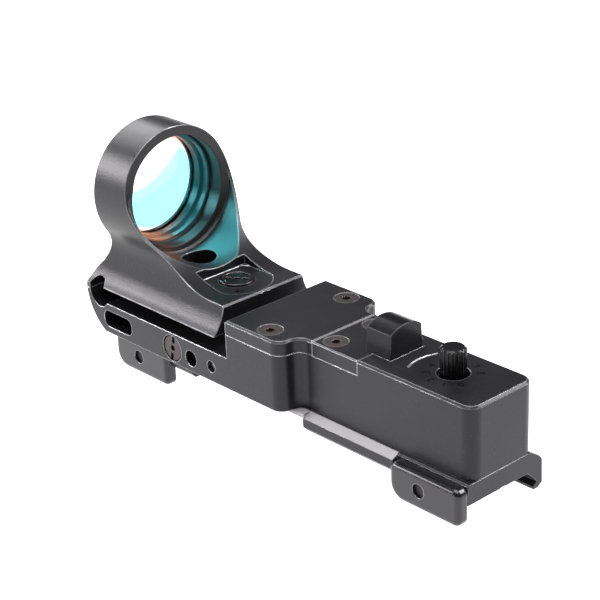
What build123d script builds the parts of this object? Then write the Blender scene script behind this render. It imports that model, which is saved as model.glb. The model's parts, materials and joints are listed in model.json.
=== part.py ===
"""Open reflex sight for an accessory rail: a long housing with an arched emitter and a
brightness knob behind, a flexing lens tower in front, and two side clamps below.
Millimetres. +X right, +Y towards the target, +Z up. The origin is under the middle of
the sight, on the surface that it stands on."""
import os
from math import cos, radians, sin

from build123d import *

# ---- driving dimensions ----
REAR_Y = -62.0
NOSE_Y = 62.0
DECK_Z = 27.1            # flat top of the housing
FLOOR_Z = 9.6            # underside of the housing, top of the rail base
PLATE = 3.5              # thickness of the cover and of the emitter plate
BOX_HALF = 10.0          # rear box, half width
WIDE_HALF = 16.0         # wide block, lower bar and tower foot, half width
SEAM_REAR_Y = -28.6      # rear edge of the emitter plate
SEAM_FRONT_Y = -14.3     # rear edge of the front cover
WIDE_FRONT_Y = 8.6       # front face of the wide block
BAR_TOP_Z = 17.5
FLEX_Z = 19.9            # height of the thinnest section of the front wall
FLEX_INNER_Y = 60.75     # inner face of that thin wall
HEAD_UNDER_Z = 21.4
HEAD_REAR_Y = 12.9
HEAD_TOP_Z = 28.2        # flat plate of the tower foot
RING_Z = 45.5            # lens axis
RING_R = 16.4
RING_REAR_Y = 43.6
RING_FRONT_Y = 55.0
SWOOP_R = 26.4           # the concave rear edge of the tower's wings
PAD_FRONT_Y = 28.4       # front of the flat pad round the elevation screw
PAD_HALF = 7.7
KNOB_Y = -47.7
KNOB_R = 2.95
EMITTER_REAR_Y = -34.0
EMITTER_FRONT_Y = -26.4
EMITTER_AXIS_Z = 30.6    # height of the emitting dot
BASE_UNDER_Z = 4.8       # seats on top of the rail
BRIDGE_REAR_Y = -13.0    # the rail base is thick behind here and in front of BRIDGE_FRONT_Y
BRIDGE_FRONT_Y = 26.5
BASE_FRONT_Y = 55.0
CLAMP_LENGTH = 20.4
CLAMP_REARS = {"rear": -62.0, "front": 34.2}
CLAMP_GAP_X = -11.3      # inner face of the clamps
CLAMP_FACE_X = -14.0
BOLT_Z = 5.0
BOLT_R = 1.6
BOLT_Y = {"rear": -50.3, "front": 45.3}
ELEVATION_Y = 22.5
WINDAGE_Y = 28.9
WINDAGE_Z = 13.45
FIT = 0.05               # radial clearance of a turning or threaded fit
SEAM = 0.06              # gap at a joint between two covers

PLATE_SEAT_Z = DECK_Z - PLATE
COVER_SCREWS = [(-12.0, -2.7), (12.0, -2.7)]
MODULE_SCREWS = [(-6.1, -18.0), (6.1, -18.0)]
BASE_SCREWS = [(0.0, -59.2), (-6.1, -17.5), (6.1, -17.5), (-6.5, 39.9), (6.5, 39.9)]
BATTERY_Y = -2.8
BATTERY_R = 5.8
BATTERY_Z = 17.3
LEAD_X = 7.0
LEAD_Z = 16.05
LEAD_R = 0.5


def block(x0, x1, y0, y1, z0, z1):
    """A box between two corners."""
    centre = ((x0 + x1) / 2, (y0 + y1) / 2, (z0 + z1) / 2)
    return Pos(*centre) * Box(x1 - x0, y1 - y0, z1 - z0)


def rod_x(r, x0, x1, y, z):
    return Pos((x0 + x1) / 2, y, z) * Rot(0, 90, 0) * Cylinder(r, x1 - x0)


def rod_y(r, y0, y1, x, z):
    return Pos(x, (y0 + y1) / 2, z) * Rot(90, 0, 0) * Cylinder(r, y1 - y0)


def rod_z(r, z0, z1, x, y):
    return Pos(x, y, (z0 + z1) / 2) * Cylinder(r, z1 - z0)


def across(edges, x0, x1):
    """Extrudes an outline of (Y, Z) edges from x0 to x1."""
    face = Plane.YZ * make_face(edges)
    return Pos(x0, 0, 0) * extrude(face, amount=x1 - x0)


def along(edges, y0, y1):
    """Extrudes an outline of (X, Z) edges from y0 to y1."""
    face = Plane.XZ * make_face(edges)
    return Pos(0, y1, 0) * extrude(face, amount=y1 - y0)


def upright(edges, z0, z1):
    """Extrudes an outline of (X, Y) edges from z0 to z1."""
    return Pos(0, 0, z0) * extrude(make_face(edges), amount=z1 - z0)


def loop(*points):
    """A closed outline of straight edges."""
    return Polyline(*points, close=True).edges()


def hex_socket(across_flats, z0, z1, x=0.0, y=0.0):
    prism = extrude(RegularPolygon(across_flats / 2, 6, major_radius=False), amount=z1 - z0)
    return Pos(x, y, z0) * prism


def ring_about_y(points):
    """Turns an outline of (radius, Y) points about the lens axis."""
    face = Plane.XY * make_face(loop(*points))
    return Pos(0, 0, RING_Z) * revolve(face, Axis.Y)


# ---- housing ----
def plan_outline():
    """Rear box, its S-shaped shoulders and the wide block, seen from above."""
    waist = BRIDGE_REAR_Y
    r = (WIDE_HALF - BOX_HALF) / 2
    corner = 3.0
    k = corner * (1 - cos(radians(45)))
    half = []
    half.append(Line((0, REAR_Y), (BOX_HALF - corner, REAR_Y)))
    half.append(ThreePointArc((BOX_HALF - corner, REAR_Y), (BOX_HALF - k, REAR_Y + k),
                              (BOX_HALF, REAR_Y + corner)))
    half.append(Line((BOX_HALF, REAR_Y + corner), (BOX_HALF, waist)))
    s = r * cos(radians(45))
    mid_x = BOX_HALF + r
    half.append(ThreePointArc((BOX_HALF, waist), (mid_x - s, waist + s), (mid_x, waist + r)))
    half.append(ThreePointArc((mid_x, waist + r), (mid_x + s, waist + 2 * r - s),
                              (WIDE_HALF, waist + 2 * r)))
    half.append(Line((WIDE_HALF, waist + 2 * r), (WIDE_HALF, WIDE_FRONT_Y)))
    half.append(Line((WIDE_HALF, WIDE_FRONT_Y), (0, WIDE_FRONT_Y)))
    edges = [e for line in half for e in line.edges()]
    return edges + [e.mirror(Plane.YZ) for e in edges]


def keyhole():
    """The round end of the slot, whose thin front wall is the tower's flexing hinge."""
    edges = []
    edges += Line((54.1, BAR_TOP_Z), (55.4, 16.2)).edges()
    edges += Line((55.4, 16.2), (56.6, 16.0)).edges()
    edges += ThreePointArc((56.6, 16.0), (59.7, 17.2), (FLEX_INNER_Y, FLEX_Z)).edges()
    edges += ThreePointArc((FLEX_INNER_Y, FLEX_Z), (59.9, 22.6), (57.4, 23.5)).edges()
    edges += Line((57.4, 23.5), (56.2, 23.2)).edges()
    edges += Line((56.2, 23.2), (55.0, HEAD_UNDER_Z)).edges()
    edges += Line((55.0, HEAD_UNDER_Z), (54.1, BAR_TOP_Z)).edges()
    return across(edges, -WIDE_HALF - 1, WIDE_HALF + 1)


def lower_bar():
    edges = Polyline((WIDE_FRONT_Y - 1, FLOOR_Z), (55.6, FLOOR_Z)).edges()
    edges += ThreePointArc((55.6, FLOOR_Z), (60.2, 14.2), (NOSE_Y, FLEX_Z)).edges()
    edges += Polyline((NOSE_Y, FLEX_Z), (FLEX_INNER_Y - 2, FLEX_Z), (FLEX_INNER_Y - 2, BAR_TOP_Z),
                      (WIDE_FRONT_Y - 1, BAR_TOP_Z), (WIDE_FRONT_Y - 1, FLOOR_Z)).edges()
    bar = across(edges, -WIDE_HALF, WIDE_HALF) - keyhole()
    window = Plane.YZ * Pos(50.1, 13.5) * RectangleRounded(11.0, 4.4, 1.9)
    return bar - Pos(-20, 0, 0) * extrude(window, amount=40)


def dial_groove():
    """Curved index line in front of the knob."""
    r = 10.0
    half_angle = 27
    sector = Pos(0, KNOB_Y) * (Circle(r + 0.18) - Circle(r - 0.18))
    wedge = [(0, KNOB_Y)]
    for angle in (90 - half_angle, 90, 90 + half_angle):
        wedge.append((2 * r * cos(radians(angle)), KNOB_Y + 2 * r * sin(radians(angle))))
    sector = sector & make_face(loop(*wedge))
    return Pos(0, 0, DECK_Z - 0.2) * extrude(sector, amount=1)


def main_housing():
    body = upright(plan_outline(), FLOOR_Z, DECK_Z)
    body -= block(-20, 20, SEAM_REAR_Y, 10, PLATE_SEAT_Z, DECK_Z + 1)
    top_rim = body.edges().group_by(Axis.Z)[-1].filter_by(lambda e: e.center().Y < SEAM_REAR_Y - 0.1)
    body = chamfer(top_rim, 0.5)
    body += lower_bar()
    # recess for the emitter plate's tongue
    body -= block(-5.2, 5.2, EMITTER_REAR_Y - FIT, SEAM_REAR_Y + 1, PLATE_SEAT_Z, DECK_Z + 1)
    # switch bay, open below, and the passages for the leads
    body -= block(-8, 8, -57, -35.5, FLOOR_Z, 25.1)
    body -= block(-4, 4, -36, -27, 13, 20)
    body -= block(-1, 1, -30.8, -30.0, 19, PLATE_SEAT_Z + 1)
    body -= block(-7.5, 7.5, -27.2, -21.2, 13, PLATE_SEAT_Z)
    for side in (-1, 1):
        body -= rod_y(LEAD_R + 0.2, -36, -8, side * LEAD_X, LEAD_Z)
    # battery pocket
    body -= block(-7.6, 7.6, -9, 3.4, 11.4, PLATE_SEAT_Z + 1)
    # knob well and index line
    body -= rod_z(3.7, 25, DECK_Z + 1, 0, KNOB_Y)
    body -= dial_groove()
    # channel of the adjuster block
    body -= block(-6, 6, 17.5, 37, 10.8, BAR_TOP_Z + 0.1)
    # windage screw: head bore, shaft bore
    body -= rod_x(3.4, -17, -12.9, WINDAGE_Y, WINDAGE_Z)
    body -= rod_x(1.5 + FIT, -13, 14.1, WINDAGE_Y, WINDAGE_Z)
    # lock screw and dowel pin
    body -= rod_x(2.05, -17, -5, 21.9, 13.05)
    body -= rod_x(1.45, -17, -7, 14.5, 13.4)
    for x, y in COVER_SCREWS:
        body -= rod_z(1.5, 15, PLATE_SEAT_Z + 1, x, y)
    for x, y in MODULE_SCREWS:
        body -= rod_z(1.25, 17.4, PLATE_SEAT_Z + 1, x, y)
    for x, y in BASE_SCREWS:
        body -= rod_z(1.5, FLOOR_Z - 1, 14.7, x, y)
    return body


def countersink(x, y, top, head_r, shaft_r):
    """Cone for a flat head with its face at height top."""
    depth = head_r - shaft_r
    return Pos(x, y, top - depth / 2) * Cone(shaft_r, head_r, depth)


def flat_screw(x, y, top, bottom, head_r=3.0, shaft_r=1.5):
    """Countersunk screw with a hexagon socket, head up."""
    sunk = top - 0.08
    screw = countersink(x, y, sunk, head_r - 0.14, shaft_r)
    screw += rod_z(shaft_r, bottom, sunk - 1.0, x, y)
    return screw - hex_socket(2.0, sunk - 1.4, sunk + 1, x, y)


def front_cover():
    cover = upright(plan_outline(), PLATE_SEAT_Z, DECK_Z)
    cover &= block(-20, 20, SEAM_FRONT_Y + SEAM / 2, 10, 0, 40)
    cover = chamfer(cover.edges().group_by(Axis.Z)[-1], 0.45)
    for x, y in COVER_SCREWS:
        cover -= countersink(x, y, DECK_Z, 3.0, 1.5) + rod_z(1.5 + FIT, 20, 30, x, y)
        cover -= rod_z(3.0, DECK_Z - 0.001, DECK_Z + 1, x, y)
    return cover


def module_plate():
    plate = block(-BOX_HALF, BOX_HALF, SEAM_REAR_Y + SEAM, SEAM_FRONT_Y - SEAM / 2,
                  PLATE_SEAT_Z, DECK_Z)
    plate = chamfer(plate.edges().group_by(Axis.Z)[-1], 0.25)
    plate += block(-5.1, 5.1, EMITTER_REAR_Y, SEAM_REAR_Y + 1, PLATE_SEAT_Z, DECK_Z)
    plate -= block(-1, 1, -30.8, -30.0, 20, 30)
    for x, y in MODULE_SCREWS:
        plate -= countersink(x, y, DECK_Z, 2.9, 1.25) + rod_z(1.25 + FIT, 20, 30, x, y)
    return plate


def emitter_block():
    """Arched hood that carries the light source."""
    side_z = DECK_Z + 5.8
    top_z = DECK_Z + 7.4
    edges = Polyline((-4.75, side_z), (-5.1, DECK_Z), (5.1, DECK_Z), (4.75, side_z)).edges()
    edges += ThreePointArc((4.75, side_z), (0, top_z), (-4.75, side_z)).edges()
    hood = along(edges, EMITTER_REAR_Y, EMITTER_FRONT_Y)
    hood = fillet(hood.edges().filter_by(lambda e: e.center().Z > DECK_Z + 1), 0.25)
    hood -= rod_y(1.05, -30.9, -20, 0, EMITTER_AXIS_Z)
    hood -= rod_y(1.6, EMITTER_FRONT_Y - 0.6, -20, 0, EMITTER_AXIS_Z)
    return hood - block(-1, 1, -30.8, -30.0, DECK_Z - 1, EMITTER_AXIS_Z)


def light_source():
    lamp = rod_y(1.0, -30.8, -28.2, 0, EMITTER_AXIS_Z)
    lamp += Pos(0, -28.2, EMITTER_AXIS_Z) * Sphere(1.0)
    for side in (-1, 1):
        lamp += rod_z(0.25, 15.5, EMITTER_AXIS_Z, side * 0.6, -30.4)
    return lamp


def emitter_window():
    return rod_y(1.58, EMITTER_FRONT_Y - 0.58, EMITTER_FRONT_Y - 0.1, 0, EMITTER_AXIS_Z)


# ---- electrics ----
def battery():
    cell = rod_x(BATTERY_R, -4.85, 5.3, BATTERY_Y, BATTERY_Z)
    cell = fillet(cell.edges(), 0.4)
    return cell + rod_x(3.6, 5.2, 5.9, BATTERY_Y, BATTERY_Z)


def battery_spring():
    """Bent leaf that presses on the battery's flat end."""
    back = -7.55
    tip = -4.9
    strip = loop((back, -8.0), (back + 0.3, -8.0), (tip, BATTERY_Y), (back + 0.3, 2.4),
                 (back, 2.4), (tip - 0.32, BATTERY_Y))
    return upright(strip, 14.3, 20.3)


def battery_contact():
    plate = block(6.9, 7.2, -8.0, 2.4, 13.3, 21.3)
    return plate + rod_x(2.0, 5.95, 7.0, BATTERY_Y, BATTERY_Z)


def battery_leads():
    leads = []
    for side in (-1, 1):
        run = rod_y(LEAD_R, -38.5, -8.1, side * LEAD_X, LEAD_Z)
        rise = rod_z(LEAD_R, LEAD_Z - LEAD_R, 18.0, side * LEAD_X, -38.5)
        leads.append(run + rise)
    return Compound(children=leads)


def circuit_board():
    return block(-7.8, 7.8, -56.0, -36.5, 18.0, 19.6)


def rotary_switch():
    case = block(-5.8, 5.8, KNOB_Y - 5.8, KNOB_Y + 5.8, 19.6, 25.1)
    case += rod_z(2.6, 25, 25.9, 0, KNOB_Y)
    return case - rod_z(1.5 + FIT, 20.1, 30, 0, KNOB_Y)


def switch_shaft():
    return rod_z(1.5, 20.3, 31.0, 0, KNOB_Y)


def brightness_knob():
    """Fluted knob with a bevelled rim and a pointer groove."""
    top = DECK_Z + 6.3
    flutes = 20
    knob = rod_z(KNOB_R, 26.2, top, 0, KNOB_Y)
    knob = chamfer(knob.edges().group_by(Axis.Z)[-1], 0.55)
    for i in range(flutes):
        angle = radians(360 * (i + 0.5) / flutes)
        x = (KNOB_R + 0.12) * cos(angle)
        y = (KNOB_R + 0.12) * sin(angle)
        knob -= rod_z(0.36, 25, top + 1, x, KNOB_Y + y)
    knob -= block(-0.25, 0.25, KNOB_Y - KNOB_R, KNOB_Y - 1.4, top - 0.3, top + 1)
    return knob - rod_z(1.5, 25, 31.0, 0, KNOB_Y)


# ---- rail base and clamps ----
def rail_base():
    """Plate with a fixed hooked jaw on the right, thin where it bridges the middle."""
    jaw = [(8.0, BASE_UNDER_Z), (11.1, 1.7), (10.0, 0.6), (10.0, 0.0), (11.5, 0.0), (12.85, 0.9),
           (12.7, 6.6), (11.9, 7.7), (8.9, FLOOR_Z)]
    ledge = [(-10.3, FLOOR_Z), (-12.5, 8.5), (-12.5, 6.2), (-11.2, BASE_UNDER_Z)]
    notch = [(-10.6, FLOOR_Z), (-11.0, 9.2), (-11.0, BASE_UNDER_Z)]
    clamp_end = CLAMP_REARS["rear"] + CLAMP_LENGTH + 0.3
    lug_end = CLAMP_REARS["front"] - 0.3
    base = along(loop(*jaw, *notch), REAR_Y, clamp_end)
    base += along(loop(*jaw, *ledge), clamp_end, BRIDGE_REAR_Y)
    base += along(loop(*jaw, *ledge), BRIDGE_FRONT_Y, lug_end)
    base += along(loop(*jaw, *notch), lug_end, BASE_FRONT_Y)
    base += block(-12.7, 12.7, BRIDGE_REAR_Y - 0.5, BRIDGE_FRONT_Y + 0.5, 8.6, FLOOR_Z)
    base += block(-9, 8.5, BRIDGE_REAR_Y - 0.5, BRIDGE_FRONT_Y + 0.5, 6.8, FLOOR_Z)
    for y in BOLT_Y.values():
        base -= rod_x(BOLT_R + FIT, -20, 20, y, BOLT_Z)
        base -= rod_x(3.6, 12.6, 20, y, BOLT_Z)
    for x, y in BASE_SCREWS:
        base -= Pos(x, y, BASE_UNDER_Z + 0.75) * Cone(2.95, 1.5, 1.5)
        base -= rod_z(1.5 + FIT, 4, FLOOR_Z + 1, x, y)
    return base


def base_screws():
    """Flat-head screws that hold the rail base up against the housing."""
    screws = []
    for x, y in BASE_SCREWS:
        screw = Pos(x, y, BASE_UNDER_Z + 0.755) * Cone(2.75, 1.5, 1.25)
        screw += rod_z(1.5, 5.8, 14.5, x, y)
        screws.append(screw - hex_socket(2.0, 4, 6.2, x, y))
    return Compound(children=screws)


def clamp(which):
    """Movable jaw: a bar with rounded ends and edges, and a hook along its foot."""
    rear = CLAMP_REARS[which]
    front = rear + CLAMP_LENGTH
    foot = 0.3
    top = 9.1
    outline = make_face(loop((rear, foot), (front, foot), (front, top), (rear, top)))
    low_front = outline.vertices().filter_by(lambda v: v.X > front - 0.1 and v.Y < foot + 0.1)
    outline = fillet(low_front, 4.0)
    corners = outline.vertices().filter_by(
        lambda v: v.Y > top - 0.1 or (v.X < rear + 0.1 and v.Y < foot + 0.1))
    outline = fillet(corners, 1.8)
    jaw = Pos(CLAMP_FACE_X, 0, 0) * extrude(Plane.YZ * outline, amount=CLAMP_GAP_X - CLAMP_FACE_X)
    jaw = fillet(jaw.edges().group_by(Axis.X)[0], 1.3)
    jaw += along(loop((CLAMP_GAP_X - 0.1, foot), (-10.1, foot), (-10.0, foot + 0.3),
                      (CLAMP_GAP_X, foot + 1.6), (CLAMP_GAP_X - 0.1, foot + 1.6)),
                 rear + 1.8, front - 4.0)
    return jaw - rod_x(BOLT_R + FIT, -20, 0, BOLT_Y[which], BOLT_Z)


def cross_bolt(which):
    """Draws its clamp in; the head is on the right, the threaded end in the clamp."""
    y = BOLT_Y[which]
    bolt = rod_x(BOLT_R, -13.3, 13.0, y, BOLT_Z)
    head = rod_x(3.4, 12.65, 15.6, y, BOLT_Z)
    bolt += chamfer(head.edges().group_by(Axis.X)[-1], 0.4)
    socket = Pos(14.0, y, BOLT_Z) * Rot(0, 90, 0) * hex_socket(3.0, 0, 2)
    return bolt - socket


# ---- adjusters ----
def slotted_head(r, length, slot):
    """Screw head along Z with its face at z = 0: a slot, a raised boss and a hex socket."""
    head = Pos(0, 0, -length / 2) * Cylinder(r, length)
    head = chamfer(head.edges().group_by(Axis.Z)[-1], 0.25)
    head -= block(-slot / 2, slot / 2, -r - 1, r + 1, -0.7, 1)
    head += Pos(0, 0, -0.45) * Cylinder(1.35, 0.9)
    return head - hex_socket(1.5, -1.6, 1)


def windage_screw():
    place = Pos(-15.8, WINDAGE_Y, WINDAGE_Z) * Rot(0, -90, 0) * Rot(0, 0, 80)
    return place * slotted_head(3.3, 2.7, 1.0) + rod_x(1.5, -13.2, 13.9, WINDAGE_Y, WINDAGE_Z)


def windage_lock_screw():
    screw = rod_x(2.0, -11.0, -6.3, 21.9, 13.05)
    socket = Pos(-12.0, 21.9, 13.05) * Rot(0, 90, 0) * hex_socket(2.0, 0, 3)
    return screw - socket


def dowel_pin():
    return chamfer(rod_x(1.43, -15.0, -7.0, 14.5, 13.4).edges(), 0.2)


def adjuster_block():
    """Slides sideways on the windage screw and carries the elevation screw's thread."""
    nut = chamfer(block(-4.6, 4.6, 19.3, 33.7, 11.0, 17.3).edges().filter_by(Axis.Z), 0.6)
    nut -= rod_x(1.65, -10, 10, WINDAGE_Y, WINDAGE_Z)
    return nut - rod_z(1.95, 0, 30, 0, ELEVATION_Y)


def elevation_bushing():
    z = HEAD_TOP_Z
    bush = rod_z(4.4, z - 2.0, z + 0.5, 0, ELEVATION_Y)
    bush = fillet(bush.edges().group_by(Axis.Z)[-1], 0.3)
    bush += rod_z(2.6, HEAD_UNDER_Z + 0.4, z - 1.9, 0, ELEVATION_Y)
    bush -= rod_z(3.3 + FIT, z - 1.2, z + 2, 0, ELEVATION_Y)
    return bush - rod_z(1.5 + FIT, 0, z, 0, ELEVATION_Y)


def elevation_screw():
    place = Pos(0, ELEVATION_Y, HEAD_TOP_Z + 0.3) * Rot(0, 0, 35)
    return place * slotted_head(3.3, 1.45, 1.0) + rod_z(1.5, 12.6, HEAD_TOP_Z - 1, 0, ELEVATION_Y)


# ---- lens tower ----
def tower_front_view():
    """Ring, neck and flared foot as one (X, Z) outline."""
    neck_z = 36.5
    neck_x = (RING_R ** 2 - (RING_Z - neck_z) ** 2) ** 0.5
    edges = []
    edges += ThreePointArc((-neck_x, neck_z), (0, RING_Z + RING_R), (neck_x, neck_z)).edges()
    for s in (-1, 1):
        edges += Spline((s * neck_x, neck_z), (s * 12.3, 33.6), (s * 12.0, 31.0),
                        (s * 12.5, HEAD_TOP_Z), (s * 13.2, 25.6), (s * 14.3, 23.4),
                        (s * WIDE_HALF, HEAD_UNDER_Z),
                        tangents=[(-s * (RING_Z - neck_z), -neck_x), (s * 1.0, -1)]).edges()
        edges += Line((s * WIDE_HALF, HEAD_UNDER_Z), (s * WIDE_HALF, FLEX_Z)).edges()
    edges += Line((-WIDE_HALF, FLEX_Z), (WIDE_HALF, FLEX_Z)).edges()
    return along(edges, HEAD_REAR_Y, NOSE_Y)


def tower_side_view():
    """The concave swoop of the wings and the nose as one (Y, Z) outline."""
    top = RING_Z + RING_R + 1
    swoop_y = RING_REAR_Y - SWOOP_R
    swoop_z = HEAD_TOP_Z + SWOOP_R
    s = SWOOP_R * sin(radians(45))
    edges = Polyline((FLEX_INNER_Y - 2, FLEX_Z + 0.03), (FLEX_INNER_Y - 2, HEAD_UNDER_Z),
                     (HEAD_REAR_Y, HEAD_UNDER_Z), (HEAD_REAR_Y, HEAD_TOP_Z),
                     (swoop_y, HEAD_TOP_Z)).edges()
    edges += ThreePointArc((swoop_y, HEAD_TOP_Z), (swoop_y + s, swoop_z - s),
                           (RING_REAR_Y, swoop_z)).edges()
    edges += Polyline((RING_REAR_Y, swoop_z), (RING_REAR_Y, top), (RING_FRONT_Y, top),
                      (RING_FRONT_Y, 35.2)).edges()
    edges += ThreePointArc((RING_FRONT_Y, 35.2), (56.4, 30.0), (59.5, 25.9)).edges()
    edges += ThreePointArc((59.5, 25.9), (61.3, 23.2), (NOSE_Y, FLEX_Z + 0.03)).edges()
    edges += Line((NOSE_Y, FLEX_Z + 0.03), (FLEX_INNER_Y - 2, FLEX_Z + 0.03)).edges()
    return across(edges, -RING_R - 1, RING_R + 1)


def lens_bore():
    """Stepped bore for the lens and its ring, opening into the hollow behind it."""
    hollow_r = 15.6
    stepped = ring_about_y([(0, 30), (13.9, 30), (13.9, 47.2), (13.7, 47.2), (13.7, 54.2),
                            (13.0, 54.2), (13.0, 60), (0, 60)])
    mouth = [Line((0, HEAD_REAR_Y - 1), (hollow_r, HEAD_REAR_Y - 1)),
             Line((hollow_r, HEAD_REAR_Y - 1), (hollow_r, RING_REAR_Y - 1.4)),
             Line((hollow_r, RING_REAR_Y - 1.4), (hollow_r - 0.4, RING_REAR_Y - 0.9)),
             Line((hollow_r - 0.4, RING_REAR_Y - 0.9), (13.9, RING_REAR_Y - 0.5)),
             Line((13.9, RING_REAR_Y - 0.5), (0, RING_REAR_Y - 0.5)),
             Line((0, RING_REAR_Y - 0.5), (0, HEAD_REAR_Y - 1))]
    face = make_face([e for line in mouth for e in line.edges()])
    return stepped + Pos(0, 0, RING_Z) * revolve(face, Axis.Y)


def sight_head():
    head = tower_front_view() & tower_side_view()
    rear_top = [e for e in head.edges().filter_by_position(Axis.Y, HEAD_REAR_Y - 0.1, HEAD_REAR_Y + 0.1)
                if e.center().Z > HEAD_TOP_Z - 0.1]
    head = chamfer(rear_top, 0.35)
    head -= keyhole()
    head -= rod_z(4.3, 10, 40, 0, 36.4)
    head -= lens_bore()
    head -= block(-PAD_HALF, PAD_HALF, HEAD_REAR_Y - 1, PAD_FRONT_Y, HEAD_TOP_Z, 60)
    pad_room = block(-PAD_HALF, PAD_HALF, 0, PAD_FRONT_Y, 0, 60)
    head -= rod_z(8.7, HEAD_TOP_Z - 0.15, 29.5, 0, ELEVATION_Y) & pad_room
    head -= rod_z(4.4 + FIT, HEAD_TOP_Z - 2.0, 60, 0, ELEVATION_Y)
    return head - rod_z(2.6 + FIT, 15, 60, 0, ELEVATION_Y)


def lens():
    """Meniscus, hollow side to the rear."""
    r = 13.6
    curve = 180.0
    sag = curve - (curve ** 2 - r ** 2) ** 0.5
    rear_y = 52.0
    blank = rod_y(r, rear_y, rear_y + 2.1, 0, RING_Z)
    hollow = Pos(0, rear_y + sag - curve, RING_Z) * Sphere(curve)
    crown = Pos(0, rear_y + 2.1 - curve, RING_Z) * Sphere(curve)
    return (blank - hollow) & crown


def lens_ring():
    """Threaded retaining ring with a groove inside."""
    return ring_about_y([(13.65, 47.4), (13.2, 47.4), (13.2, 48.8), (13.45, 49.0), (13.45, 49.8),
                         (12.7, 50.0), (12.7, 51.98), (13.65, 51.98)])


NODES = {
    "main_housing": main_housing(),
    "front_cover": front_cover(),
    "front_cover_screws": Compound(children=[flat_screw(x, y, DECK_Z, 15.5)
                                             for x, y in COVER_SCREWS]),
    "emitter_plate": module_plate(),
    "emitter_plate_screws": Compound(children=[flat_screw(x, y, DECK_Z, 17.6, 2.9, 1.25)
                                               for x, y in MODULE_SCREWS]),
    "emitter_hood": emitter_block(),
    "emitter_led": light_source(),
    "emitter_window": emitter_window(),
    "battery": battery(),
    "battery_spring": battery_spring(),
    "battery_contact": battery_contact(),
    "battery_leads": battery_leads(),
    "circuit_board": circuit_board(),
    "rotary_switch": rotary_switch(),
    "switch_shaft": switch_shaft(),
    "brightness_knob": brightness_knob(),
    "rail_base": rail_base(),
    "rail_base_screws": base_screws(),
    "rear_clamp": clamp("rear"),
    "front_clamp": clamp("front"),
    "rear_cross_bolt": cross_bolt("rear"),
    "front_cross_bolt": cross_bolt("front"),
    "windage_screw": windage_screw(),
    "windage_lock_screw": windage_lock_screw(),
    "dowel_pin": dowel_pin(),
    "adjuster_block": adjuster_block(),
    "elevation_bushing": elevation_bushing(),
    "elevation_screw": elevation_screw(),
    "sight_head": sight_head(),
    "lens": lens(),
    "lens_ring": lens_ring(),
}

os.makedirs("parts", exist_ok=True)
for name, shape in NODES.items():
    export_step(shape, f"parts/{name}.step")
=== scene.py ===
"""Looks of the open reflex sight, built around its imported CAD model.
Metres. +X right, +Y towards the target, +Z up."""
import json
from math import cos, pi, radians, sin

import bmesh
import bpy
from mathutils import Matrix, Vector


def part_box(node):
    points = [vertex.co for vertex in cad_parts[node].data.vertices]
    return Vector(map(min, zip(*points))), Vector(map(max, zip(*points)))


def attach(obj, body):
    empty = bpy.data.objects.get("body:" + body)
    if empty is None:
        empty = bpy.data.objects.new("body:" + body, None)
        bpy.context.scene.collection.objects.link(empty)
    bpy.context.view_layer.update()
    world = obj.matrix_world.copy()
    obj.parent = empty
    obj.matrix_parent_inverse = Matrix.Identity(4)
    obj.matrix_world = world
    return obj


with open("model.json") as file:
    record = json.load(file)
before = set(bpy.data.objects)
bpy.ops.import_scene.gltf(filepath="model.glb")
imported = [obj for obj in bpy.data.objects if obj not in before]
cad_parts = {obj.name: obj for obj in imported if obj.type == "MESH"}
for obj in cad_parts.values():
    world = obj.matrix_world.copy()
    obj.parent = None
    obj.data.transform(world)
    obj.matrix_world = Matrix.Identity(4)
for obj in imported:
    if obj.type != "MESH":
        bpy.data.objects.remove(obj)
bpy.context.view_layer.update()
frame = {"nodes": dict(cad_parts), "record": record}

MM = 0.001
CAMERA_PLACE = Vector((-0.25324, -0.28152, 0.19918))
CAMERA_AZIMUTH = radians(-41.95)
CAMERA_ELEVATION = radians(24.12)
CAMERA_ROLL = radians(-2.27)
LENS_MM = 108.0
DECK_Z = 27.1 * MM
KNOB_Y = -47.7 * MM
RING_Z = 45.5 * MM
COATING = (0.07, 0.74, 0.81)     # blue-green; it lies on the lens's rear face only
# painted reflection: white on the upper part of the lens
LENS_REFLECTION_WHITE = (0.96, 1.0, 1.0)
# painted reflection: amber at parts of the lens's rim
LENS_AMBER_REFLECTION = (0.36, 0.10, 0.05)       # parts of the lens's rim
# painted light: blue-green thrown by the lens coating on the black metal
GLOW = (0.03, 0.18, 0.205)       # what the coating throws on the black metal
# painted amber light at the left foot of the hollow
FOOT_GLOW = (0.07, 0.028, 0.016)
# painted amber light low on the retaining ring
RING_AMBER = (0.48, 0.21, 0.12)
# painted highlight: a lighter band along the left ledge of the rail base
LEDGE_HIGHLIGHT_GREY = (0.34, 0.33, 0.34)
BLACK_DYE = ((0.0022, 0.0022, 0.0027), (0.0062, 0.0062, 0.007))
# edge colours: part bare metal where the finish has thinned, part painted highlight
BARE_METAL_AND_SHEEN = (0.30, 0.30, 0.31)
BRIGHT_EDGE = (0.55, 0.55, 0.57)
PAINTED_GLINT_SHARE = 0.015            # how far the painted glints lighten the finish
WEAR_AND_SHEEN_SHARE = 0.8                 # how far an edge turns to its bare colour: thinned finish and painted highlight
WORN_METALLIC = 0.85
GLOW_GLOSS = 0.35                # share of the gloss left where the glow lies
PAD_Z = 28.05 * MM       # the sunk pad round the elevation screw


# ---- camera ----
def build_camera():
    a, e, r = CAMERA_AZIMUTH, CAMERA_ELEVATION, CAMERA_ROLL
    back = Vector((sin(a) * cos(e), -cos(a) * cos(e), sin(e)))
    right = Vector((cos(a), sin(a), 0))
    up = back.cross(right)
    side = right * cos(r) + up * sin(r)
    top = up * cos(r) - right * sin(r)
    data = bpy.data.cameras.new("camera")
    data.lens = LENS_MM
    data.sensor_width = 36.0
    data.clip_start = 0.01
    camera = bpy.data.objects.new("camera", data)
    turn = Matrix((side, top, back)).transposed().to_4x4()
    camera.matrix_world = Matrix.Translation(CAMERA_PLACE) @ turn
    bpy.context.scene.collection.objects.link(camera)
    bpy.context.scene.camera = camera


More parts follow.
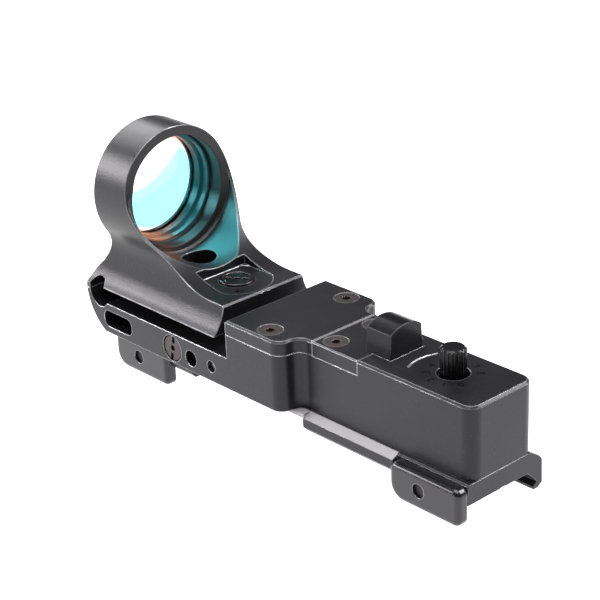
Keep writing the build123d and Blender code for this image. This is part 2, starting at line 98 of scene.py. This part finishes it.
# ---- node helpers ----
class Nodes:
    """Adds nodes to a tree and joins them by name."""

    def __init__(self, tree):
        self.tree = tree

    def add(self, kind, values=None, **settings):
        node = self.tree.nodes.new(kind)
        for key, value in settings.items():
            setattr(node, key, value)
        for key, value in (values or {}).items():
            if isinstance(value, bpy.types.NodeSocket):
                self.tree.links.new(value, node.inputs[key])
            else:
                node.inputs[key].default_value = value
        return node

    def math(self, operation, a, b=0.0, clamp=False):
        node = self.add("ShaderNodeMath", {0: a, 1: b}, operation=operation, use_clamp=clamp)
        return node.outputs[0]

    def vector(self, operation, a, b=None):
        values = {0: a} if b is None else {0: a, 1: b}
        node = self.add("ShaderNodeVectorMath", values, operation=operation)
        return node.outputs["Value" if operation in ("DOT_PRODUCT", "LENGTH") else "Vector"]

    def blend(self, amount, a, b):
        """Mixes two colours."""
        node = self.add("ShaderNodeMix", data_type="RGBA", blend_type="MIX")
        for index, value in ((0, amount), (6, a), (7, b)):
            if isinstance(value, bpy.types.NodeSocket):
                self.tree.links.new(value, node.inputs[index])
            elif index == 0:
                node.inputs[index].default_value = value
            else:
                node.inputs[index].default_value = (*value, 1.0)
        return node.outputs[2]

    def range(self, value, low, high, to_low=0.0, to_high=1.0, smooth=False):
        node = self.add("ShaderNodeMapRange", {"Value": value, "From Min": low, "From Max": high,
                                               "To Min": to_low, "To Max": to_high})
        node.interpolation_type = "SMOOTHSTEP" if smooth else "LINEAR"
        return node.outputs["Result"]


def new_group(name, inputs, outputs):
    """A shader node group with named inputs (name, default) and outputs (name, kind)."""
    group = bpy.data.node_groups.new(name, "ShaderNodeTree")
    for label, default in inputs:
        socket = group.interface.new_socket(label, in_out="INPUT", socket_type="NodeSocketFloat")
        socket.default_value = default
    for label, kind in outputs:
        group.interface.new_socket(label, in_out="OUTPUT", socket_type="NodeSocket" + kind)
    n = Nodes(group)
    return group, n, n.add("NodeGroupInput").outputs, n.add("NodeGroupOutput").inputs


def bead_blast_group():
    """Fine even pits, as bead blasting leaves them, and a sparse scatter of brighter ones as
    painted glints.
    """
    group, n, given, out = new_group(
        "bead_blast", [("Pit size mm", 0.15), ("Cloud size mm", 6.0)],
        [("Height", "Float"), ("Painted glint", "Float"), ("Cloud", "Float")])
    place = n.add("ShaderNodeTexCoord").outputs["Object"]
    per_metre = n.math("DIVIDE", 1000.0, given["Pit size mm"])
    pits = n.add("ShaderNodeTexNoise", {"Vector": place, "Scale": per_metre, "Detail": 2.0,
                                        "Roughness": 0.55}).outputs["Fac"]
    spots = n.add("ShaderNodeTexVoronoi", {"Vector": place, "Scale": per_metre}).outputs["Color"]
    chance = n.add("ShaderNodeSeparateColor", {"Color": spots}).outputs["Red"]
    coarse = n.math("DIVIDE", 1000.0, given["Cloud size mm"])
    cloud = n.add("ShaderNodeTexNoise", {"Vector": place, "Scale": coarse, "Detail": 3.0})
    group.links.new(pits, out["Height"])
    group.links.new(n.range(chance, 0.93, 1.0), out["Painted glint"])
    group.links.new(cloud.outputs["Fac"], out["Cloud"])
    return group


def wear_and_sheen_edge_group():
    """Rounds edges by a small radius and finds them, where the finish has thinned and where a
    highlight is painted.
    """
    group, n, given, out = new_group(
        "wear_and_sheen_edge", [("Edge mm", 0.15), ("Patchiness", 0.5)],
        [("Edge", "Float"), ("Normal", "Vector")])
    radius = n.math("MULTIPLY", given["Edge mm"], MM)
    rounded = n.add("ShaderNodeBevel", {"Radius": radius}, samples=6).outputs["Normal"]
    flat = n.add("ShaderNodeNewGeometry").outputs["Normal"]
    turned = n.math("SUBTRACT", 1.0, n.vector("DOT_PRODUCT", rounded, flat))
    place = n.add("ShaderNodeTexCoord").outputs["Object"]
    patches = n.add("ShaderNodeTexNoise", {"Vector": place, "Scale": 350.0,
                                           "Detail": 3.0}).outputs["Fac"]
    keep = n.math("MULTIPLY", given["Patchiness"], n.range(patches, 0.35, 0.65))
    kept = n.math("SUBTRACT", 1.0, keep)
    group.links.new(n.math("MULTIPLY", n.range(turned, 0.01, 0.14), kept, True), out["Edge"])
    group.links.new(rounded, out["Normal"])
    return group


def place_group(n, group, **values):
    node = n.add("ShaderNodeGroup", node_tree=group)
    for label, value in values.items():
        node.inputs[label.replace("_", " ")].default_value = value
    return node.outputs


BEAD_BLAST = bead_blast_group()
WEAR_AND_SHEEN_EDGE = wear_and_sheen_edge_group()


# ---- materials ----
def new_material(name):
    material = bpy.data.materials.new(name)
    material.use_nodes = True
    tree = material.node_tree
    tree.nodes.clear()
    n = Nodes(tree)
    shader = n.add("ShaderNodeBsdfPrincipled")
    out = n.add("ShaderNodeOutputMaterial")
    tree.links.new(shader.outputs[0], out.inputs[0])
    return material, n, shader.inputs


def set_inputs(n, sockets, **values):
    """Links or sets the shader's inputs; names use _ for a space."""
    for label, value in values.items():
        socket = sockets[label.replace("_", " ")]
        if isinstance(value, bpy.types.NodeSocket):
            n.tree.links.new(value, socket)
        elif socket.type == "RGBA":
            socket.default_value = (*value, 1.0)
        else:
            socket.default_value = value


def blasted_metal(name, dark, light, edge, roughness, pit=0.2, depth=0.012, edge_mm=0.15,
                  metallic=0.0, patchiness=0.5, specular=0.3, edge_limit=None, painted_light=None):
    """Blasted and coloured metal: grain, a faint cloudiness and lighter colour on edges, part
    thinned finish and part painted highlight.
    The edge limit says where edges lighten; the painted-light list gives painted light and painted
    highlight as (where, colour)."""
    material, n, sockets = new_material(name)
    grain = place_group(n, BEAD_BLAST, Pit_size_mm=pit, Cloud_size_mm=7.0)
    wear_and_sheen = place_group(n, WEAR_AND_SHEEN_EDGE, Edge_mm=edge_mm, Patchiness=patchiness)
    edges = wear_and_sheen["Edge"] if edge_limit is None else n.math("MULTIPLY", wear_and_sheen["Edge"], edge_limit(n))
    body = n.blend(grain["Cloud"], dark, light)
    # painted glints lighten the finish at scattered spots
    colour = n.blend(n.math("MULTIPLY", grain["Painted glint"], PAINTED_GLINT_SHARE), body, edge)
    # each painted light or painted highlight blends its colour in and takes away part of the gloss
    if painted_light is not None:
        for mask, painted_colour in painted_light(n):
            colour = n.blend(mask, colour, painted_colour)
            gloss_left = n.range(mask, 0.0, 1.0, 1.0, GLOW_GLOSS)
            specular = n.math("MULTIPLY", specular, gloss_left)
    # edges turn towards the edge colour: thinned finish and painted highlight together
    colour = n.blend(n.math("MULTIPLY", edges, WEAR_AND_SHEEN_SHARE), colour, edge)
    grain_rough = n.range(grain["Height"], 0.2, 0.8, roughness + 0.05, roughness - 0.05)
    rough = n.math("SUBTRACT", grain_rough, n.math("MULTIPLY", edges, 0.08))
    bump = n.add("ShaderNodeBump", {"Height": grain["Height"], "Normal": wear_and_sheen["Normal"],
                                    "Strength": 0.5, "Distance": depth * MM})
    set_inputs(n, sockets, Base_Color=colour, Roughness=rough,
               Metallic=n.range(edges, 0.0, 1.0, metallic, WORN_METALLIC),
               Specular_IOR_Level=specular, Specular_Tint=(0.98, 0.94, 1.0),
               Normal=bump.outputs[0])
    return material


def plain_part(name, colour, spread, roughness, metallic=0.0, scale=900.0, **more):
    """A small part's finish: its colour varies a little and its surface is faintly uneven."""
    material, n, sockets = new_material(name)
    place = n.add("ShaderNodeTexCoord").outputs["Object"]
    uneven = n.add("ShaderNodeTexNoise", {"Vector": place, "Scale": scale, "Detail": 4.0})
    pale = tuple(min(1.0, c * (1 + spread)) for c in colour)
    deep = tuple(c * (1 - spread) for c in colour)
    tone = n.blend(uneven.outputs["Fac"], deep, pale)
    rough = n.range(uneven.outputs["Fac"], 0.2, 0.8, roughness - 0.06, roughness + 0.06)
    wear_and_sheen = place_group(n, WEAR_AND_SHEEN_EDGE, Edge_mm=0.08, Patchiness=0.3)
    bump = n.add("ShaderNodeBump", {"Height": uneven.outputs["Fac"], "Normal": wear_and_sheen["Normal"],
                                    "Strength": 0.3, "Distance": 0.004 * MM})
    set_inputs(n, sockets, Base_Color=tone, Roughness=rough, Metallic=metallic,
               Normal=bump.outputs[0], **more)
    return material


def place_mm(n):
    """The place on the sight, in millimetres, as three outputs."""
    place = n.add("ShaderNodeTexCoord").outputs["Object"]
    scaled = n.vector("SCALE", place)
    scaled.node.inputs["Scale"].default_value = 1 / MM
    return n.add("ShaderNodeSeparateXYZ", {"Vector": scaled}).outputs


def from_lens_axis(n, at):
    """Distance from the lens axis, in millimetres."""
    z = n.math("SUBTRACT", at["Z"], RING_Z / MM)
    return n.math("SQRT", n.math("ADD", n.math("MULTIPLY", at["X"], at["X"]),
                                 n.math("MULTIPLY", z, z)))


def outside_the_bore(n):
    return n.range(from_lens_axis(n, place_mm(n)), 15.0, 15.9)


def coating_glow(n):
    """Painted light: the blue-green that the coating throws on the right wall of the hollow, and
    a trace of painted amber light at its left foot."""
    at = place_mm(n)
    inside = n.range(from_lens_axis(n, at), 15.95, 15.7)
    by_lens = n.range(at["Y"], 42.1, 38.5, smooth=True)
    behind = n.range(at["Y"], 24.0, 36.0, smooth=True)
    right = n.range(at["X"], -5.0, 7.0, smooth=True)
    low = n.range(at["Z"], 60.0, 40.0, 0.3, 1.0)
    soft = n.add("ShaderNodeTexNoise", {"Vector": n.add("ShaderNodeTexCoord").outputs["Object"],
                                        "Scale": 120.0}).outputs["Fac"]
    streak = n.range(soft, 0.3, 0.7, 0.75, 1.0)
    glow = inside
    for part in (by_lens, behind, right, low, streak):
        glow = n.math("MULTIPLY", glow, part)
    left_foot = n.math("MULTIPLY", n.range(at["X"], -1.0, -5.0, smooth=True),
                       n.range(at["Z"], 34.5, 31.5, smooth=True))
    trace = n.math("MULTIPLY", n.math("MULTIPLY", left_foot, inside),
                   n.math("MULTIPLY", n.range(at["Y"], 34.0, 39.0, smooth=True),
                          n.range(at["Y"], 48.0, 46.0)))
    return [(glow, GLOW), (n.math("MULTIPLY", trace, 0.6), FOOT_GLOW)]


def ring_glow(n):
    """Painted light: blue-green on the right side of the retaining ring, amber low on its left."""
    at = place_mm(n)
    right = n.range(at["X"], -3.0, 8.0, smooth=True)
    low_left = n.math("MULTIPLY", n.range(at["X"], 3.0, -3.0, smooth=True),
                      n.range(at["Z"], 37.0, 34.0, smooth=True))
    return [(n.math("MULTIPLY", right, 0.7), GLOW), (n.math("MULTIPLY", low_left, 0.7), RING_AMBER)]


def ledge_highlight(n):
    """Painted highlight: a lighter band along the left ledge of the rail base."""
    at = place_mm(n)
    band = n.math("MULTIPLY", n.range(at["X"], -10.2, -10.5), n.range(at["Z"], 8.35, 8.6))
    band = n.math("MULTIPLY", band, n.range(at["Y"], -41.4, -41.2))
    return [(n.math("MULTIPLY", band, 0.85), LEDGE_HIGHLIGHT_GREY)]


def coated_glass():
    """Lens coating: blue-green to look through, a painted white reflection above, and painted amber
    reflection at parts of the rim.
    """
    material, n, sockets = new_material("coated_lens")
    at = place_mm(n)
    # painted reflection: above a curved line the lens turns white
    z = n.math("SUBTRACT", at["Z"], RING_Z / MM)
    bow = n.math("MULTIPLY", n.math("MULTIPLY", at["X"], at["X"]), 0.035)
    height = n.math("SUBTRACT", n.math("SUBTRACT", z, n.math("MULTIPLY", at["X"], 0.45)), bow)
    clear = n.range(height, 0.4, 1.6, smooth=True)
    coat = n.blend(clear, COATING, LENS_REFLECTION_WHITE)
    low_corner, high_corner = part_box("lens")
    middle = (low_corner.y + high_corner.y) / 2 / MM
    rear_face = n.range(at["Y"], middle + 0.1, middle - 0.1)
    # painted amber reflection low on the rim and high on its right
    rim = n.range(from_lens_axis(n, at), 10.9, 12.4, smooth=True)
    low = n.range(z, -8.0, -10.5, smooth=True)
    high = n.range(n.math("ADD", z, at["X"]), 13.0, 16.0, smooth=True)
    amber = n.math("MULTIPLY", rim, n.math("MAXIMUM", low, high), True)
    colour = n.blend(rear_face, (1.0, 1.0, 1.0), n.blend(amber, coat, LENS_AMBER_REFLECTION))
    set_inputs(n, sockets, Base_Color=colour, Roughness=0.0, Metallic=0.0,
               Transmission_Weight=1.0, IOR=1.5)
    return material


def build_materials():
    made = {}
    # the edge colours below are part bare metal, part painted highlight
    made["anodised_body"] = blasted_metal("black_anodised", *BLACK_DYE, BRIGHT_EDGE, 0.34,
                                          pit=0.34, depth=0.03, edge_mm=0.4)
    # the tower carries painted blue-green and amber light from the lens
    made["tower"] = blasted_metal("tower_black", *BLACK_DYE, BRIGHT_EDGE, 0.35, pit=0.42,
                                  depth=0.08, edge_mm=0.42, patchiness=0.6,
                                  edge_limit=outside_the_bore, painted_light=coating_glow)
    # the ring carries painted blue-green and amber light from the lens
    made["lens_ring"] = blasted_metal("ring_black", *BLACK_DYE, BARE_METAL_AND_SHEEN, 0.22, depth=0.003,
                                      edge_limit=outside_the_bore, painted_light=ring_glow)
    # the base carries a painted highlight on its left ledge
    made["anodised_base"] = blasted_metal(
        "base_black", (0.004, 0.004, 0.0045), (0.010, 0.010, 0.011), BARE_METAL_AND_SHEEN, 0.38, edge_mm=0.25,
        patchiness=0.7, painted_light=ledge_highlight)
    made["clamp_steel"] = blasted_metal(
        "blackened_clamps", (0.002, 0.002, 0.002), (0.006, 0.006, 0.0065), BARE_METAL_AND_SHEEN, 0.2,
        pit=0.35, edge_mm=0.5, specular=0.5)
    made["screw_steel"] = blasted_metal(
        "browned_screws", (0.030, 0.026, 0.025), (0.070, 0.062, 0.058), (0.22, 0.20, 0.19), 0.36,
        pit=0.25, edge_mm=0.1, metallic=0.7, patchiness=0.3)
    made["dark_bolts"] = blasted_metal(
        "dark_bolts", (0.010, 0.009, 0.009), (0.024, 0.022, 0.021), (0.12, 0.11, 0.11), 0.42,
        pit=0.25, edge_mm=0.1, metallic=0.4, patchiness=0.3)
    made["bright_steel"] = plain_part("bright_steel", (0.62, 0.61, 0.60), 0.12, 0.24, 1.0)
    made["gloss_black_metal"] = blasted_metal(
        "emitter_black", (0.0015, 0.0015, 0.002), (0.003, 0.003, 0.0035), BARE_METAL_AND_SHEEN, 0.24,
        depth=0.003, edge_mm=0.35, specular=0.2, patchiness=0.3)
    made["oiled_screws"] = blasted_metal(
        "oiled_screws", (0.002, 0.002, 0.002), (0.006, 0.006, 0.006), (0.35, 0.35, 0.35), 0.18,
        pit=0.4, depth=0.003, edge_mm=0.2, metallic=0.1, specular=0.5, patchiness=0.4)
    made["knob_black"] = plain_part("knob_black", (0.002, 0.002, 0.0025), 0.25, 0.24,
                                    Specular_IOR_Level=0.25)
    made["led_red"] = plain_part("led_red", (0.55, 0.02, 0.02), 0.1, 0.15, Transmission_Weight=0.4)
    made["window_glass"] = plain_part("window_glass", (0.85, 0.85, 0.88), 0.03, 0.08,
                                      Transmission_Weight=1.0)
    made["battery_can"] = plain_part("battery_can", (0.60, 0.60, 0.60), 0.08, 0.28, 1.0)
    made["lead_jacket"] = plain_part("lead_jacket", (0.30, 0.012, 0.012), 0.15, 0.45)
    made["board_green"] = plain_part("board_green", (0.01, 0.09, 0.035), 0.2, 0.4)
    made["switch_plastic"] = plain_part("switch_plastic", (0.05, 0.05, 0.055), 0.15, 0.5)
    made["brass_nut"] = plain_part("brass_nut", (0.62, 0.43, 0.16), 0.12, 0.3, 1.0)
    made["figure_black"] = plain_part("figure_black", (0.0006, 0.0006, 0.0006), 0.3, 0.5,
                                      Specular_IOR_Level=0.03)
    made["coated_lens"] = coated_glass()
    return made


OTHER_FINISH = {"sight_head": "tower", "elevation_screw": "oiled_screws",
                "elevation_bushing": "oiled_screws", "rear_cross_bolt": "dark_bolts",
                "front_cross_bolt": "dark_bolts", "lens_ring": "lens_ring"}


def dress_nodes(made):
    """Gives every CAD node the material of its slot, or a finer variant of it."""
    for part in frame["record"]["subparts"]:
        mesh = frame["nodes"][part["node"]].data
        mesh.materials.clear()
        mesh.materials.append(made[OTHER_FINISH.get(part["node"], part["material_slot"])])


# ---- pieces ----
def add_piece(name, mesh, material, body):
    """A finished piece: its place is in its mesh and its object sits at the origin."""
    piece = bpy.data.objects.new(name, mesh)
    bpy.context.scene.collection.objects.link(piece)
    mesh.materials.clear()
    mesh.materials.append(material)
    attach(piece, body)


def figure_tree(material):
    """Geometry nodes that set a row of figures in a circle, each with its foot to the centre."""
    tree = bpy.data.node_groups.new("dial_figures", "GeometryNodeTree")
    tree.interface.new_socket("Geometry", in_out="INPUT", socket_type="NodeSocketGeometry")
    for label, kind, default in (
            ("Figures", "String", "012345678"), ("Size", "Float", 1.9 * MM),
            ("Radius", "Float", 5.6 * MM), ("First angle", "Float", radians(-115)),
            ("Step", "Float", radians(-36))):
        socket = tree.interface.new_socket(label, in_out="INPUT", socket_type="NodeSocket" + kind)
        socket.default_value = default
    tree.interface.new_socket("Geometry", in_out="OUTPUT", socket_type="NodeSocketGeometry")
    n = Nodes(tree)
    given = n.add("NodeGroupInput").outputs
    letters = n.add("GeometryNodeStringToCurves", {"String": given["Figures"],
                                                   "Size": given["Size"]})
    index = n.add("GeometryNodeInputIndex").outputs[0]
    angle = n.math("ADD", given["First angle"], n.math("MULTIPLY", index, given["Step"]))
    away = n.add("ShaderNodeCombineXYZ", {
        "X": n.math("MULTIPLY", n.math("COSINE", angle), given["Radius"]),
        "Y": n.math("MULTIPLY", n.math("SINE", angle), given["Radius"])}).outputs[0]
    placed = n.add("GeometryNodeSetPosition", {"Geometry": letters.outputs["Curve Instances"],
                                               "Position": away})
    turn = n.add("ShaderNodeCombineXYZ", {"Z": n.math("SUBTRACT", angle, pi / 2)}).outputs[0]
    turned = n.add("GeometryNodeRotateInstances", {"Instances": placed.outputs[0],
                                                   "Rotation": turn})
    real = n.add("GeometryNodeRealizeInstances", {"Geometry": turned.outputs[0]})
    filled = n.add("GeometryNodeFillCurve", {"Curve": real.outputs[0]})
    dressed = n.add("GeometryNodeSetMaterial", {"Geometry": filled.outputs[0],
                                                "Material": material})
    out = n.add("NodeGroupOutput")
    tree.links.new(dressed.outputs[0], out.inputs[0])
    return tree


def dial_figures(material):
    """Figures 0 to 8 around the knob, cut in and filled with black."""
    draft = bpy.data.objects.new("figures_draft", bpy.data.meshes.new("figures_draft"))
    bpy.context.scene.collection.objects.link(draft)
    row = draft.modifiers.new("figures", "NODES")
    row.node_group = figure_tree(material)
    sockets = {s.name: s.identifier for s in row.node_group.interface.items_tree}
    row[sockets["Size"]] = 2.6 * MM
    row[sockets["Radius"]] = 4.9 * MM
    fill = draft.modifiers.new("depth", "SOLIDIFY")
    fill.thickness = 0.06 * MM
    fill.offset = 0.0
    graph = bpy.context.evaluated_depsgraph_get()
    mesh = bpy.data.meshes.new_from_object(draft.evaluated_get(graph))
    bpy.data.objects.remove(draft)
    mesh.transform(Matrix.Translation((0, KNOB_Y, DECK_Z - 0.01 * MM)))
    add_piece("dial_figures", mesh, material, "housing")


def adjuster_arrow(material):
    """A small arrow beside the elevation screw that shows which way raises the dot."""
    low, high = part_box("elevation_screw")
    centre = (low + high) / 2
    shape = [(-0.18, -1.2), (0.18, -1.2), (0.18, 0.2), (0.6, 0.2), (0.0, 1.2), (-0.6, 0.2),
             (-0.18, 0.2)]
    work = bmesh.new()
    foot = [work.verts.new((x * MM, y * MM, -0.03 * MM)) for x, y in shape]
    face = work.faces.new(foot)
    raised = bmesh.ops.extrude_face_region(work, geom=[face])["geom"]
    for corner in raised:
        if isinstance(corner, bmesh.types.BMVert):
            corner.co.z = 0.02 * MM
    bmesh.ops.recalc_face_normals(work, faces=work.faces)
    mesh = bpy.data.meshes.new("adjuster_arrow")
    work.to_mesh(mesh)
    work.free()
    turn = Matrix.Rotation(radians(55), 4, "Z")
    place = Matrix.Translation((centre.x - 4.0 * MM, centre.y - 5.4 * MM, PAD_Z))
    mesh.transform(place @ turn)
    add_piece("adjuster_arrow", mesh, material, "tower")


# ---- studio ----
def add_softbox(name, place, aim, size, power, colour=(1, 1, 1)):
    data = bpy.data.lights.new(name, "AREA")
    data.shape = "RECTANGLE"
    data.size, data.size_y = size
    data.energy = power
    data.color = colour
    lamp = bpy.data.objects.new(name, data)
    lamp.location = place
    lamp.rotation_euler = (Vector(aim) - Vector(place)).to_track_quat("-Z", "Y").to_euler()
    bpy.context.scene.collection.objects.link(lamp)


def build_studio():
    bpy.ops.mesh.primitive_plane_add(size=8, location=(0, 0, -0.0002))
    floor = bpy.context.object
    floor.name = "studio_floor"
    material, n, sockets = new_material("pale_floor")
    set_inputs(n, sockets, Base_Color=(0.10, 0.10, 0.10), Roughness=0.9,
               Emission_Color=(1.0, 1.0, 1.0), Emission_Strength=1.85)
    floor.data.materials.append(material)
    world = bpy.data.worlds.new("studio")
    world.use_nodes = True
    world.node_tree.nodes["Background"].inputs["Color"].default_value = (0.95, 0.97, 1.0, 1.0)
    world.node_tree.nodes["Background"].inputs["Strength"].default_value = 0.15
    bpy.context.scene.world = world
    add_softbox("overhead", (-0.1, 0.0, 0.9), (0, 0, 0.02), (0.9, 0.9), 16)
    add_softbox("front_left", (-0.52, 0.70, 0.34), (0, 0, 0.03), (0.55, 0.30), 10)
    add_softbox("front_right", (0.16, 0.80, 0.56), (0, 0, 0.05), (0.60, 0.30), 5.5)
    add_softbox("rear_right", (0.55, -0.38, 0.62), (0, 0, 0.02), (0.5, 0.5), 12)
    bpy.context.scene.view_settings.view_transform = "Standard"


build_camera()
MATERIALS = build_materials()
dress_nodes(MATERIALS)
dial_figures(MATERIALS["figure_black"])
adjuster_arrow(MATERIALS["figure_black"])
build_studio()
